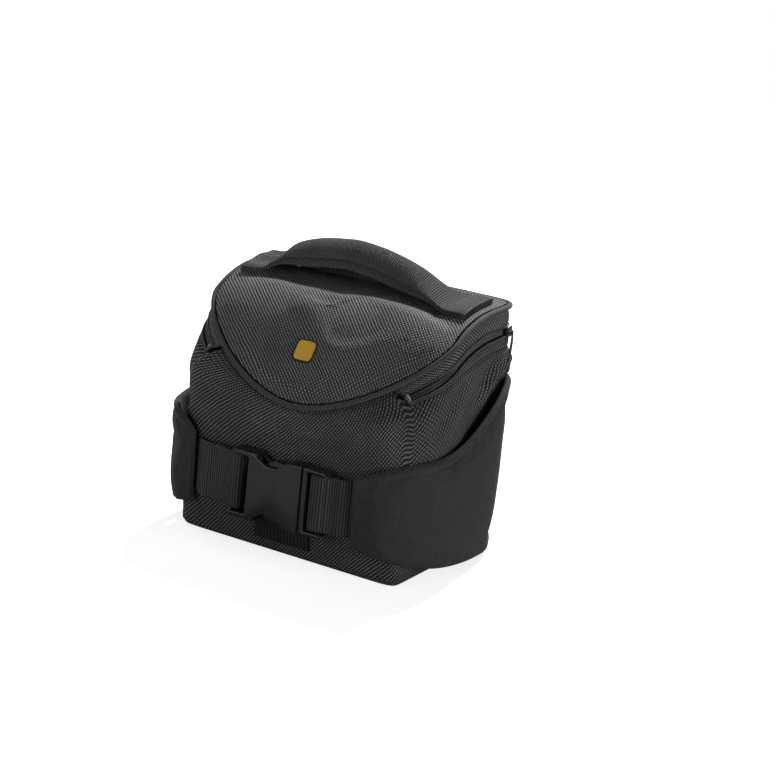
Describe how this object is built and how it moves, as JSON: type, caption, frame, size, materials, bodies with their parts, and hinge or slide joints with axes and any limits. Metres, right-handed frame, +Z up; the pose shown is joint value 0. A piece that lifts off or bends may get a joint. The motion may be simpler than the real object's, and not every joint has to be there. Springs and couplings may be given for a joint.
{
  "type": "bicycle handlebar bag",
  "caption": "Soft D-shaped handlebar bag: hollow body, domed zipped lid with piping and webbing grip, padded belt wings buckled across the front.",
  "frame": {"origin": "middle of the whole bag's foot, on the surface that it stands on", "axes": "+X across the bag to the right of someone facing its front, -Y out of its front, +Z up"},
  "size_m": [0.2092, 0.1462, 0.198],
  "materials": {
    "woven_cloth": "charcoal woven nylon with a visible basket weave",
    "smooth_cloth": "smooth matt black-grey cloth",
    "webbing": "ribbed black nylon webbing",
    "plastic": "satin black moulded plastic",
    "badge": "plain amber woven patch"
  },
  "bodies": {
    "root": {"body_shell": "woven_cloth", "lid": "woven_cloth", "lid_piping": "smooth_cloth", "zip_tape_upper": "smooth_cloth", "zip_coil": "plastic", "zip_tape_lower": "smooth_cloth", "handle": "webbing", "wing_left": "smooth_cloth", "wing_right": "smooth_cloth", "strap_left": "webbing", "strap_right": "webbing", "buckle_socket": "plastic", "buckle_plug": "plastic", "front_loop": "webbing", "badge": "badge", "bar_mount": "plastic", "zip_slider_1": "plastic", "zip_pull_1": "webbing", "zip_slider_2": "plastic", "zip_pull_2": "webbing"}
  },
  "joints": []
}
